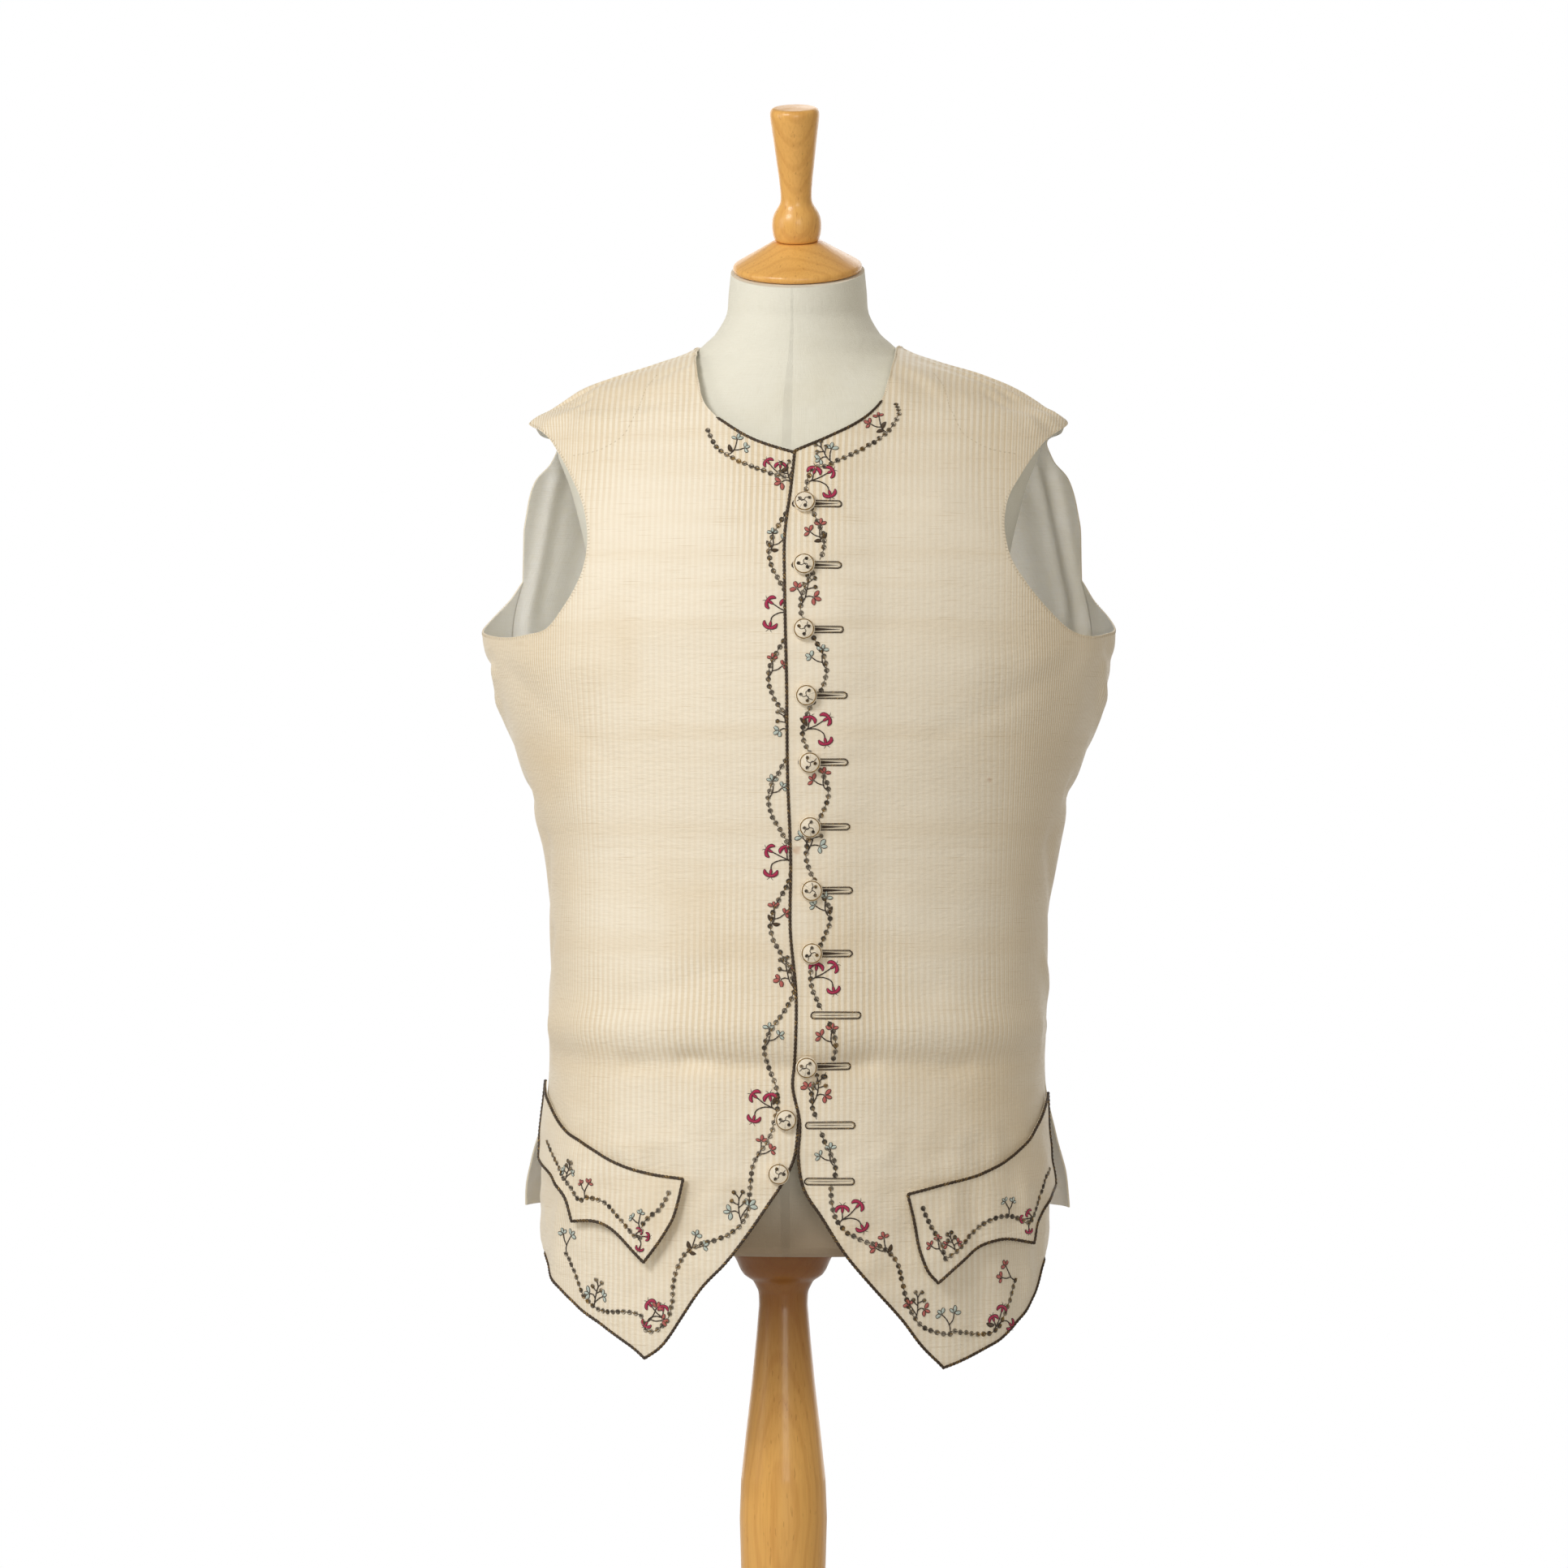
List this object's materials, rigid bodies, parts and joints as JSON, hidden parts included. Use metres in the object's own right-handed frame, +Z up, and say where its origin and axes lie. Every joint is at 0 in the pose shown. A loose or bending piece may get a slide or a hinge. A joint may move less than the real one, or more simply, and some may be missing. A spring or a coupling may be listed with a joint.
{
  "type": "embroidered waistcoat on a limbless dress form and stand",
  "caption": "Sleeveless embroidered waistcoat with cut-away skirts and scalloped pocket flaps, buttoned over a dress form on a turned stand.",
  "frame": {"origin": "on the floor, at the bottom centre of the whole object's box", "axes": "+Z up, -Y out of the waistcoat's front, +X to the wearer's left"},
  "size_m": [0.4834, 0.38, 1.5805],
  "materials": {
    "silk": "cream ribbed silk, soft sheen, embroidered along its edges",
    "linen": "plain ivory linen, matte",
    "covered_button": "cream silk over a mould, with a gold thread rim",
    "calico": "ivory calico stretched over the form, matte",
    "beech": "turned beech, amber varnish, satin"
  },
  "bodies": {
    "root": {"front_left": "silk", "front_right": "silk", "back_left": "linen", "back_right": "linen", "pocket_flap_left": "silk", "pocket_flap_right": "silk", "button_01": "covered_button", "button_02": "covered_button", "button_03": "covered_button", "button_04": "covered_button", "button_05": "covered_button", "button_06": "covered_button", "button_07": "covered_button", "button_08": "covered_button", "button_10": "covered_button", "button_11": "covered_button", "button_12": "covered_button", "dress_form": "calico", "neck_cap": "beech", "finial_knob": "beech", "stand_pole": "beech", "stand_base": "beech"}
  },
  "joints": []
}
